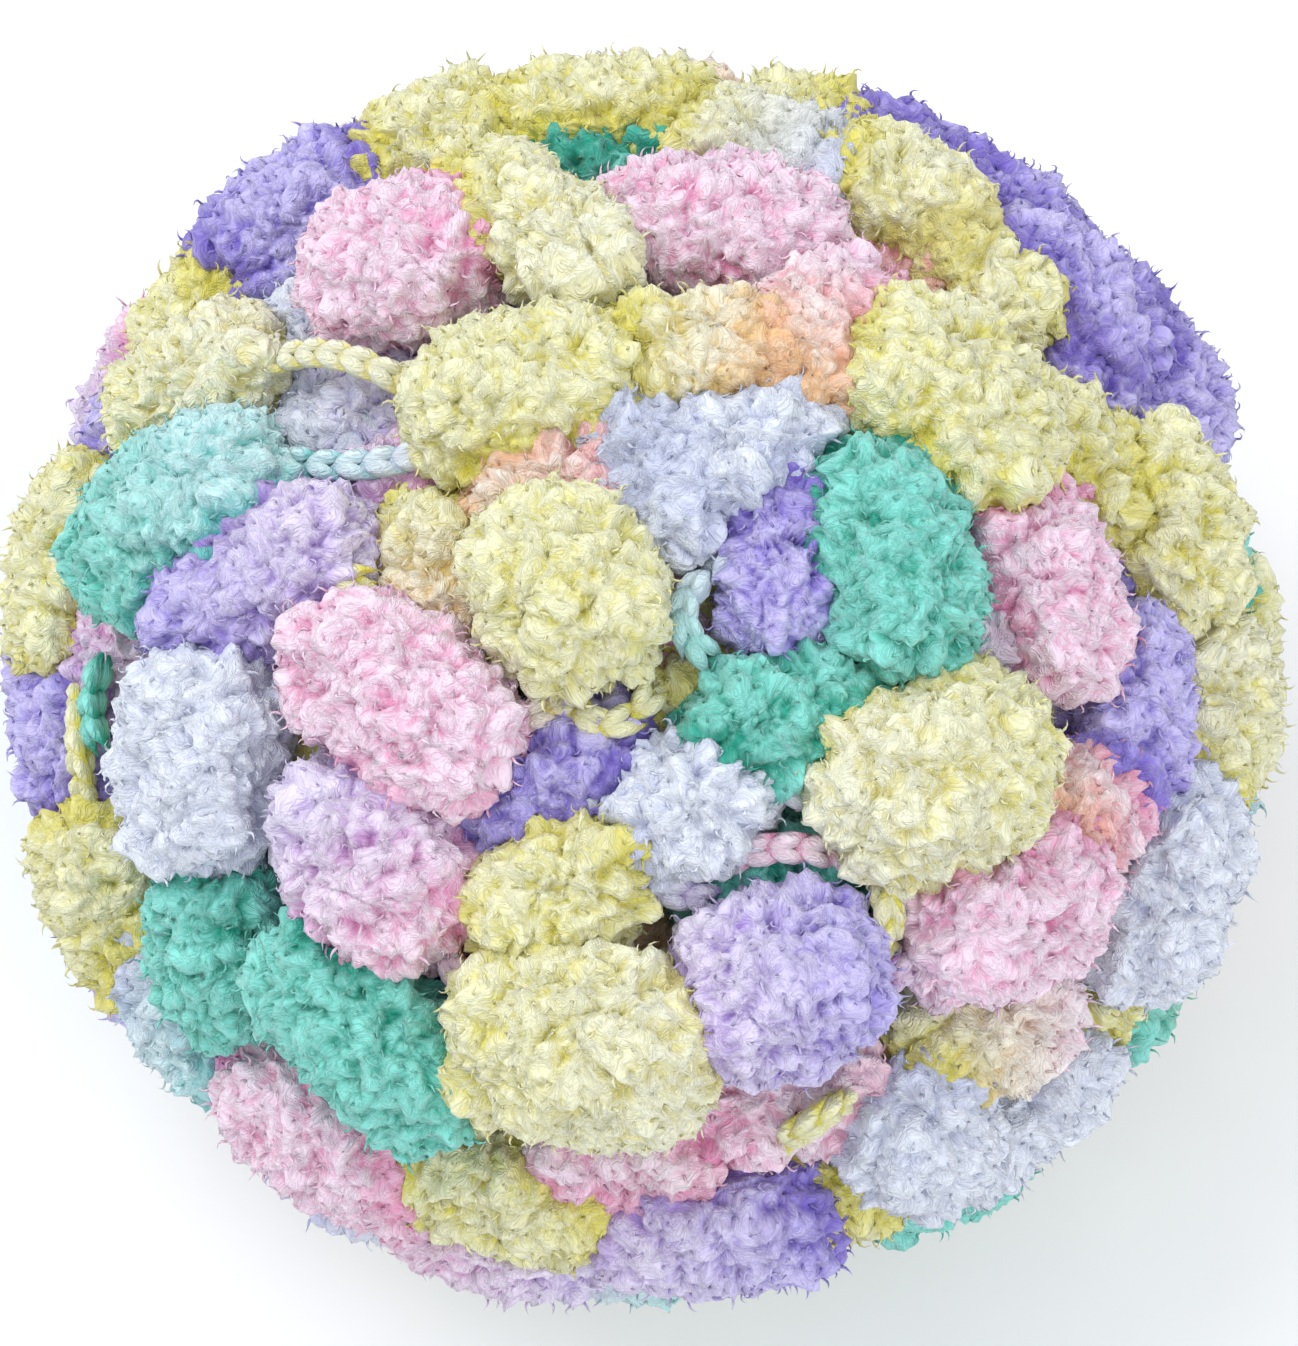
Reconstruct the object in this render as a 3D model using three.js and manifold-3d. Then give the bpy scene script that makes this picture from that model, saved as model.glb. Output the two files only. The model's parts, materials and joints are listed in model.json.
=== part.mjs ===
// Pom pom yarn: fat barrels of soft pile on a chain-stitched cord, wound into one ball.
//
// Lengths are in millimetres and +Z is up. The origin is the middle of the flat spot on
// which the ball rests. The whole ball is one closed solid: a core, the pompoms that lie
// side by side over it, and the short links of cord that show between them.

import * as THREE from 'three';
import { mergeVertices } from 'three/addons/utils/BufferGeometryUtils.js';
import Module from 'manifold-3d';

const wasm = await Module();
wasm.setup();

// Size of the ball. The pompoms have their centres on a flattened round shell.
const SHELL_GIRTH = 71;      // from the middle of the ball to the shell, level
const SHELL_HEIGHT = 48;     // from the middle of the ball to the shell, upright
const MIDDLE_HEIGHT = 51;    // middle of the ball above the flat spot
const CORE_DEPTH = 7;        // how far the core stays under the shell

// Size of the yarn.
const POMPOM_LONG = 29;      // usual length of a pompom along the cord
const POMPOM_WIDE = 22;      // usual width of a pompom
const POMPOM_FLATNESS = 0.92; // thickness over width, as each is pressed on its neighbours
const BARREL_POWER = 2.7;    // 2 gives an egg, more gives a barrel
const LUMP_SIZE = 0.07;      // rise of the lumps of pile, as a share of the radius
const CORD_RADIUS = 1.9;
const CORD_SIDES = 4;
const CORD_STEPS = 4;

// Fineness of the surface and of the search for it.
const FACET_DETAIL = 19;
const SEARCH_STEP = 2;
const SEARCH_HALVINGS = 7;

// The plan of the upper side: a flat sheet through the middle of the ball, seen by an eye
// that looks down on it. On this sheet "across" runs right and "up" runs away from the eye.
const EYE_SLOPE = THREE.MathUtils.degToRad(73);
const EYE_DISTANCE = 460;
const MIDDLE = new THREE.Vector3(0, 0, MIDDLE_HEIGHT);
const TOWARDS_EYE = new THREE.Vector3(0, -Math.cos(EYE_SLOPE), Math.sin(EYE_SLOPE));
const PLAN_RIGHT = new THREE.Vector3(1, 0, 0);
const PLAN_UP = new THREE.Vector3(0, Math.sin(EYE_SLOPE), Math.cos(EYE_SLOPE));
const EYE = MIDDLE.clone().addScaledVector(TOWARDS_EYE, EYE_DISTANCE);

// Turns rows of numbers into records with the names of the columns.
function table(columns, rows) {
  return rows.map((row) => Object.fromEntries(columns.map((name, i) => [name, row[i]])));
}

// Pompoms of the upper side: centre on the plan, direction of the cord in degrees,
// length, width, and how deep the centre sinks below the shell.
const UPPER_POMPOMS = table(['across', 'up', 'turn', 'long', 'wide', 'sink'], [
  // lemon
  [-24.5, 63.5, 14, 29, 21, 0],
  [-5, 66.5, 2, 29, 21, 0],
  [15, 63, -36, 29, 18, 0],
  [25, 66, -25, 29, 20, 1],
  [-14, 55, -55, 33, 16, -4],
  [-53, 45.5, 18, 27, 19, 1],
  [-55.5, 34.5, -5, 27, 18, 0],
  [-14.5, 33.5, 12, 30, 21, -1],
  [-70, 12, 85, 30, 21, 0],
  [-25, 10, -85, 24, 18, 5],
  [-10, 9.5, -60, 24, 21.5, -4],
  [4, -5, 10, 22, 16, 8],
  [37.5, 32, -50, 30, 24, -3],
  [36.5, -14, 25, 29, 23.5, -4],
  [7.5, 37.5, -8, 24, 18, -1],
  [32, 57.5, -30, 24, 19, -1],
  [41, 49, -55, 26, 16, 1],
  [54, 24, -60, 25, 17, 3],
  [66, 17.5, -86, 27, 18, -2],
  [70, -6, 80, 26, 19, 0],
  [-11, -28, 30, 24, 17, 0],
  [-7.5, -47, -5, 31, 24, -4],
  [42, -45.5, -5, 27, 17, 3],
  [58, -44, 55, 22, 15, 3],
  [21.5, -65, -18, 26, 16, 1],
  [7, -62.5, -5, 22, 14, 4],
  [-66, -29, -70, 28, 19, 0],
  [-16, -65, -8, 30, 18, 1],
  // white
  [-38, 40, 0, 25, 20, 8],
  [-34, 31, 20, 25, 18, 9],
  [1, 23, -60, 25, 17, 1],
  [12.5, 26, 35, 24, 19, 0],
  [4.5, -18, 20, 21, 18, 1],
  [41, 4.5, 30, 22, 16, 4],
  [64, -27, 75, 30, 21, 0],
  [70, -17, 78, 26, 17, 2],
  [33.5, -58, -60, 25, 20, 0],
  [47, -55, 40, 28, 20, 1],
  [31, -68, 25, 24, 16, 3],
  [-55, -12, 82, 28, 21, -2],
  [-57, -44, -40, 27, 19, 2],
  [-47, -58, -42, 26, 17, 4],
  // pink
  [-30, 50, 10, 25, 22, -2],
  [-40, 29, 10, 20, 15, 11],
  [9.5, 54, -5, 30, 20, 1],
  [32, 49, -35, 25, 17, 6],
  [50, 9.5, -70, 27, 18, -1],
  [49, 23, -70, 20, 15, 6],
  [1.5, 5.5, 70, 26, 16, 10],
  [45, -30, 20, 28, 21.5, -2],
  [17.5, -54, 12, 26, 16, 4],
  [-2, -60, -12, 25, 16, 3],
  [-39, -58, -35, 29, 20, 0],
  [-19, -70, -14, 31, 19, 0],
  // blush
  [-30, -4.5, -35, 31, 20, -3],
  [17, -40, 10, 25, 22.5, -3],
  [9, -69, -8, 31, 20, -1],
  [-64, 3, 45, 22, 16, 6],
  [-46, -46, -45, 24, 17, 6],
  // peach
  [-8.5, 22, 5, 27, 19, 3],
  [22, 40, 55, 25, 19, -1],
  [52, -18.5, 10, 24, 18, 1],
  // lavender
  [-42, 54.5, 28, 30, 22, 0],
  [-66, 29, 62, 26, 18, 3],
  [-47.5, 10, 25, 32, 19.5, 0],
  [-29, 21, 8, 28, 17, 8],
  [17, 14.5, 80, 27, 15, 0],
  [-11, -14.5, 25, 27, 19, 4],
  [-33, -24.5, -59, 27, 23, 0],
  [33, 62.5, -28, 29, 20, 0],
  [45, 54, -42, 27, 21, 0],
  [52.5, 45, -58, 29, 21, -0.5],
  [55, 33, -65, 26, 17, 4],
  [62, 37, -62, 30, 21, -1],
  [58.5, 12, -88, 26, 15, 6],
  [60, -5.5, 75, 26, 18, 1],
  [-70, -11, 88, 26, 18, 1],
  // mint
  [-57.5, 18, 18, 31, 22.5, -2],
  [31, 13, -80, 30, 19.5, -3],
  [18.5, -7, 5, 26, 17, 1],
  [-5.5, 61, 3, 25, 18, 4],
  [16.5, -27, 5, 24, 16, 6],
  [71, 14, -85, 25, 16, 2],
  [-53, -34, 70, 27, 18, 1],
  [-34, -46, -45, 33, 19, -3],
]);

// Links of cord that show between them: both ends and the middle on the plan, and how far
// the middle rises above the shell.
const LINK_COLUMNS = ['x1', 'y1', 'x2', 'y2', 'x3', 'y3', 'rise'];
const UPPER_LINKS = table(LINK_COLUMNS, [
  [-47, 37, -38.5, 38.5, -27, 33, 3],
  [-70.5, -3, -70.5, -11, -69.5, -20, 3],
  [-10.5, -2, -4.5, -7.5, 2, -2, 1],
  [-1, 43, 1, 40, 4, 37, 3],
  [-38, 6, -36.5, 10.5, -34, 6, 2],
  [29.5, -27, 30, -32, 28.5, -37, -2],
  [24, 53, 27, 50, 29, 46, 2],
  [17, -59.5, 21, -57, 25, -54, 0],
  [-45, 25.5, -36, 24.8, -27, 26.5, -1],
  [-68, 0, -69, -5, -68, -10, 0],
  [11.5, 13.5, 4.8, 5.5, 13, -2, 2],
  [72, 4, 72.5, -2, 71, -9, 3],
  [10, -16.5, 15, -15, 21, -17, 1],
  [-1, -28, 4, -28.5, 9, -29.5, -1],
  [-17, -8, -13, -6, -8, -4, 0],
  [9, -25, 18, -22.8, 27, -25, 0],
  [28, -41, 32, -38, 36, -36, 0],
  [-26, -33, -23.5, -38, -22, -42, 0],
]);

// Rings of pompoms round the side and under it: angle down from the axis of the ring, lean of
// that axis towards the front, number of pompoms, and where the first one starts as a share
// of the pitch. The first ring follows the outline of the upper side, and the last is the one
// pompom in the middle of the flat spot.
const LOWER_RINGS = table(['angle', 'lean', 'count', 'start'], [
  [98, 12, 12, 0],
  [122, 9, 11, 0.5],
  [141, 5, 8, 0.2],
  [159, 0, 5, 0.6],
  [180, 0, 1, 0],
]);
const RING_ZIGZAG = THREE.MathUtils.degToRad(16);

// Half axes of the shell, or of a smaller one that lies "sink" deeper.
function shellReach(sink) {
  return new THREE.Vector3(SHELL_GIRTH - sink, SHELL_GIRTH - sink, SHELL_HEIGHT - sink);
}

// Point of the shell in a direction that is given on the unit sphere, and its normal.
function shellSpot(direction, sink) {
  const reach = shellReach(sink);
  const point = direction.clone().multiply(reach).add(MIDDLE);
  const normal = direction.clone().divide(reach).normalize();
  return { point, normal };
}

// Point of the shell that the eye sees behind a point of the plan. A point beyond the
// outline goes to the nearest part of the outline.
function planSpot(across, up, sink) {
  const reach = shellReach(sink);
  const onPlan = MIDDLE.clone().addScaledVector(PLAN_RIGHT, across).addScaledVector(PLAN_UP, up);
  const start = EYE.clone().sub(MIDDLE).divide(reach);
  const ray = onPlan.sub(EYE).divide(reach);
  const square = ray.lengthSq();
  const half = start.dot(ray);
  const under = Math.max(half * half - square * (start.lengthSq() - 1), 0);
  const hit = start.addScaledVector(ray, (-half - Math.sqrt(under)) / square).normalize();
  return shellSpot(hit, sink);
}

// The direction that is an angle away from one direction towards a second one square to it.
function turned(first, second, angle) {
  return first.clone().multiplyScalar(Math.cos(angle)).addScaledVector(second, Math.sin(angle));
}

// Frame of a pompom: its centre, the direction of the cord, the side and the outward normal.
function pompomFrame(spot, heading) {
  const along = heading.clone().addScaledVector(spot.normal, -heading.dot(spot.normal)).normalize();
  const side = new THREE.Vector3().crossVectors(spot.normal, along);
  return { centre: spot.point, along, side, out: spot.normal };
}

function upperFrame({ across, up, turn, sink }) {
  const heading = turned(PLAN_RIGHT, PLAN_UP, THREE.MathUtils.degToRad(turn));
  return pompomFrame(planSpot(across, up, sink), heading);
}

// Frames of one lower ring. The pompoms swing one way and the other by turns.
function ringFrames({ angle, lean, count, start }) {
  const front = new THREE.Vector3(0, -1, 0);
  const axis = turned(new THREE.Vector3(0, 0, 1), front, THREE.MathUtils.degToRad(lean));
  const back = new THREE.Vector3().crossVectors(axis, PLAN_RIGHT);
  return Array.from({ length: count }, (_, k) => {
    const round = (2 * Math.PI * (k + start)) / count;
    const swing = k % 2 === 0 ? RING_ZIGZAG : -RING_ZIGZAG;
    const outward = turned(PLAN_RIGHT, back, round);
    const onward = turned(PLAN_RIGHT, back, round + Math.PI / 2);
    const direction = turned(axis, outward, THREE.MathUtils.degToRad(angle));
    return pompomFrame(shellSpot(direction, 0), turned(onward, axis, swing));
  });
}

// Where a point lies in a pompom: under 1 inside its pile, over 1 outside. The pile stands
// in soft lumps.
function pileLevel(pompom, point) {
  const away = point.clone().sub(pompom.centre);
  const x = away.dot(pompom.along) / (pompom.long / 2);
  const y = away.dot(pompom.side) / (pompom.wide / 2);
  const z = away.dot(pompom.out) / ((pompom.wide * POMPOM_FLATNESS) / 2);
  const barrel = (Math.abs(x) ** BARREL_POWER + Math.hypot(y, z) ** BARREL_POWER) ** (1 / BARREL_POWER);
  const lumps = Math.sin(5 * x + pompom.seed) * Math.sin(6 * y - 2 * pompom.seed);
  return barrel / (1 + LUMP_SIZE * lumps);
}

// How far from the middle of the ball its surface lies in one direction: where a line that
// comes in from outside first meets a pompom, or else the core. Under the ball it stops at
// the flat spot.
function surfaceDistance(pompoms, direction) {
  const core = 1 / direction.clone().divide(shellReach(CORE_DEPTH)).length();
  const onShell = shellSpot(direction.clone().divide(shellReach(0)).normalize(), 0).point;
  const near = pompoms.filter((pompom) => pompom.centre.distanceTo(onShell) < POMPOM_LONG);
  let outside = SHELL_GIRTH + POMPOM_WIDE;
  const isInside = (distance) => {
    const point = MIDDLE.clone().addScaledVector(direction, distance);
    return near.some((pompom) => pileLevel(pompom, point) < 1);
  };
  while (outside > core && !isInside(outside - SEARCH_STEP)) {
    outside -= SEARCH_STEP;
  }
  let inside = outside - SEARCH_STEP;
  for (let halving = 0; halving < SEARCH_HALVINGS && outside > core; halving += 1) {
    const between = (inside + outside) / 2;
    if (isInside(between)) {
      inside = between;
    } else {
      outside = between;
    }
  }
  const flat = direction.z < 0 ? MIDDLE_HEIGHT / -direction.z : Infinity;
  return Math.min(Math.max(outside, core), flat);
}

// The wound form: a fine ball of facets, each corner of it moved out to the pile.
function woundGeometry(pompoms) {
  const geometry = new THREE.IcosahedronGeometry(1, FACET_DETAIL);
  const position = geometry.attributes.position;
  const known = new Map();
  const direction = new THREE.Vector3();
  for (let i = 0; i < position.count; i += 1) {
    direction.fromBufferAttribute(position, i).normalize();
    const key = direction.toArray().map((value) => value.toFixed(4)).join();
    if (!known.has(key)) {
      known.set(key, MIDDLE.clone().addScaledVector(direction, surfaceDistance(pompoms, direction)));
    }
    const corner = known.get(key);
    position.setXYZ(i, corner.x, corner.y, corner.z);
  }
  return geometry;
}

// A link of cord through three points, with closed ends that sink into the pompoms.
function cordGeometry(points) {
  const corners = Array.from({ length: CORD_SIDES }, (_, k) => {
    const angle = (2 * Math.PI * k) / CORD_SIDES;
    return new THREE.Vector2(CORD_RADIUS * Math.cos(angle), CORD_RADIUS * Math.sin(angle));
  });
  const path = new THREE.CatmullRomCurve3(points);
  const options = { steps: CORD_STEPS, bevelEnabled: false, extrudePath: path };
  return new THREE.ExtrudeGeometry(new THREE.Shape(corners), options);
}

function upperLink({ x1, y1, x2, y2, x3, y3, rise }) {
  return cordGeometry([
    planSpot(x1, y1, -rise / 2).point,
    planSpot(x2, y2, -rise).point,
    planSpot(x3, y3, -rise / 2).point,
  ]);
}

// A link of cord from the end of one pompom of a ring to the start of the next.
function ringLink(frame, next) {
  const reach = POMPOM_LONG * 0.36;
  const from = frame.centre.clone().addScaledVector(frame.along, reach).addScaledVector(frame.out, 2);
  const to = next.centre.clone().addScaledVector(next.along, -reach).addScaledVector(next.out, 2);
  const middle = from.clone().lerp(to, 0.5).addScaledVector(frame.out, 2);
  return cordGeometry([from, middle, to]);
}

// A closed solid from a geometry, with the vertices of neighbouring faces shared.
function solid(geometry) {
  const bare = new THREE.BufferGeometry();
  bare.setAttribute('position', geometry.attributes.position);
  if (geometry.index) {
    bare.setIndex(geometry.index);
  }
  const welded = mergeVertices(bare, 1e-4);
  const mesh = new wasm.Mesh({
    numProp: 3,
    vertProperties: new Float32Array(welded.attributes.position.array),
    triVerts: new Uint32Array(welded.index.array),
  });
  return new wasm.Manifold(mesh);
}

function geometryOf(manifold) {
  const mesh = manifold.getMesh();
  const geometry = new THREE.BufferGeometry();
  geometry.setAttribute('position', new THREE.Float32BufferAttribute(mesh.vertProperties, 3));
  geometry.setIndex(new THREE.Uint32BufferAttribute(mesh.triVerts, 1));
  geometry.computeVertexNormals();
  return geometry;
}

// The links of one ring, from each pompom to the next.
function ringLinks(ring) {
  const linked = ring.length > 1 ? ring : [];
  return linked.map((pompom, k) => ringLink(pompom, ring[(k + 1) % ring.length]));
}

// The body with the most volume. Pockets shut in under a link of cord fall away with it.
function largestBody(manifold) {
  return manifold.decompose().reduce((best, body) => (body.volume() > best.volume() ? body : best));
}

function upperPompoms() {
  return UPPER_POMPOMS.map((row, k) => ({ ...upperFrame(row), long: row.long, wide: row.wide, seed: k }));
}

function ringPompoms(ring) {
  return ringFrames(ring).map((frame, k) => ({ ...frame, long: POMPOM_LONG, wide: POMPOM_WIDE, seed: k }));
}

function wholeBall() {
  const rings = LOWER_RINGS.map(ringPompoms);
  const wound = woundGeometry([...upperPompoms(), ...rings.flat()]);
  const links = [
    ...UPPER_LINKS.map(upperLink),
    ...rings.flatMap(ringLinks),
  ];
  const joined = wasm.Manifold.union([wound, ...links].map(solid));
  return largestBody(joined.trimByPlane([0, 0, 1], 0));
}

const YARN = new THREE.MeshStandardMaterial({ name: 'yarn', color: 0xf1ecc6, roughness: 0.95 });

const ball = new THREE.Mesh(geometryOf(wholeBall()), YARN);
ball.name = 'pompom_ball';

const part = new THREE.Group();
part.name = 'pompom_yarn';
part.add(ball);

export default part;
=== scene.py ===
# %% [markdown]
# # Pom pom yarn, wound into a ball
# The yarn is a thin chain-stitched cord that carries a fat barrel of crimped pile, a pompom,
# about every 40 mm. Its dye runs slowly from lemon through mint, white, pink and lavender.
# This lesson builds the pile and the stitches over the plain solid that the frame holds. The
# solid has the right lumps already, but it is bare and has one colour.

# %% Load the frame
import json
import math

import bmesh
import bpy
import numpy as np
from mathutils import Matrix, Vector
from mathutils.bvhtree import BVHTree

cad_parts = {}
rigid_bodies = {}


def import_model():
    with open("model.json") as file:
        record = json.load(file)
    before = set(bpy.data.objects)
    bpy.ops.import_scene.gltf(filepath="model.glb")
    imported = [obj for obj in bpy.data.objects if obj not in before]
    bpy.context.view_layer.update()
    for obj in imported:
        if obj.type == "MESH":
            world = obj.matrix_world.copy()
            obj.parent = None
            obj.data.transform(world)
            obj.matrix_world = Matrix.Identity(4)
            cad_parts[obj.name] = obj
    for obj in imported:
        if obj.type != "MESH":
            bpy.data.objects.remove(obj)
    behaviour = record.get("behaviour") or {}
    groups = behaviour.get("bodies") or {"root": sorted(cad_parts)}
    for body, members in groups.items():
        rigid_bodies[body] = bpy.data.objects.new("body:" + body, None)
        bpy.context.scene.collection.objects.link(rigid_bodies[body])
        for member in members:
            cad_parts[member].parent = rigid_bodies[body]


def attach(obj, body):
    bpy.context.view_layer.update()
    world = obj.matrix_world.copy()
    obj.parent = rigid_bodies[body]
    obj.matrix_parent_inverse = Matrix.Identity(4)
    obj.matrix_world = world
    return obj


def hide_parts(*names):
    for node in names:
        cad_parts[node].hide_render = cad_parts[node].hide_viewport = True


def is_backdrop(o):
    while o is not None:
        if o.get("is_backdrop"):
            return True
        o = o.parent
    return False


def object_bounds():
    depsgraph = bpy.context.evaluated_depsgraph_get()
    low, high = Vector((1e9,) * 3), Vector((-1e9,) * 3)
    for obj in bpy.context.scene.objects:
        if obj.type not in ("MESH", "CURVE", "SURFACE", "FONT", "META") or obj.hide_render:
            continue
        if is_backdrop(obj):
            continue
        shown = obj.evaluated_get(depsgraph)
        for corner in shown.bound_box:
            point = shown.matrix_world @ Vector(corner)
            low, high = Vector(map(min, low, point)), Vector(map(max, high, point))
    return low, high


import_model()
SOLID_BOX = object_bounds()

MM = 0.001
print("solid, in mm:", [round(1000 * (high - low)) for low, high in zip(*SOLID_BOX)])

# %% [markdown]
# ## The plan of the ball
# The ball is a slightly flattened round shell of pompoms. Scattering them at random would be
# quicker, but every ball is wound its own way. So the places on the upper side are read off a
# flat plan, through the middle of the ball, as an eye above it sees them. The solid was made
# with the same sizes and rules, so each pompom of pile lands on the lump that stands for it.

# %% Sizes of the ball and of the yarn, in millimetres
SHELL_GIRTH = 71
SHELL_HEIGHT = 48
MIDDLE_HEIGHT = 51
CORE_DEPTH = 7
POMPOM_LONG = 29
POMPOM_WIDE = 22
POMPOM_FLATNESS = 0.92
BARREL_POWER = 2.7

EYE_SLOPE = math.radians(73)
EYE_DISTANCE = 460
MIDDLE = np.array([0, 0, MIDDLE_HEIGHT])
SHELL = np.array([SHELL_GIRTH, SHELL_GIRTH, SHELL_HEIGHT])
TOWARDS_EYE = np.array([0, -math.cos(EYE_SLOPE), math.sin(EYE_SLOPE)])
PLAN_RIGHT = np.array([1, 0, 0])
PLAN_UP = np.array([0, math.sin(EYE_SLOPE), math.cos(EYE_SLOPE)])
EYE = MIDDLE + EYE_DISTANCE * TOWARDS_EYE

# %% [markdown]
# ## The dye
# Each colour of the yarn is two colours: the tips of the pile catch the light and look
# pale, and between them the same dye looks deep and strong. Light that wanders through the
# fibres does that on the real yarn. Subsurface scattering could too, but slowly, so here the
# two colours are mixed by height. Values are 8-bit sRGB.

# %% Colours of the yarn
YARN_COLOURS = {
    # name: (tips, roots)
    "lemon": ((244, 242, 202), (228, 218, 88)),
    "cream": ((246, 245, 218), (236, 225, 138)),
    "mint": ((142, 228, 216), (0, 158, 132)),
    "ice": ((204, 240, 242), (104, 204, 200)),
    "white": ((236, 241, 252), (206, 212, 238)),
    "pink": ((252, 228, 244), (242, 148, 192)),
    "blush": ((254, 240, 246), (248, 184, 210)),
    "peach": ((254, 240, 226), (246, 192, 138)),
    "lavender": ((208, 200, 250), (122, 100, 206)),
    "lilac": ((236, 226, 250), (178, 148, 218)),
}


def linear(colour):
    """An 8-bit sRGB colour as the linear values that shaders use."""
    share = np.array(colour, float) / 255
    return np.where(share <= 0.04045, share / 12.92, ((share + 0.055) / 1.055) ** 2.4)


def dyes_along(colours, shares):
    """The colours of tips and roots at shares of the way from one colour to another."""
    layers = {}
    for layer, shade in (("tips", 0), ("roots", 1)):
        start, end = (linear(YARN_COLOURS[name][shade]) for name in colours)
        layers[layer] = start + (end - start) * shares[:, None]
    return layers


print(len(YARN_COLOURS), "colours of yarn")

# %% [markdown]
# ## Where each pompom lies
# A row gives the colour at both ends of the pompom, its centre on the plan, the direction of
# the cord in degrees, its length and width, and how deep it sinks below the shell. Lengths
# are in millimetres. A table is easier to read and to change than a rule here, because no two
# pompoms lie alike.

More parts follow.
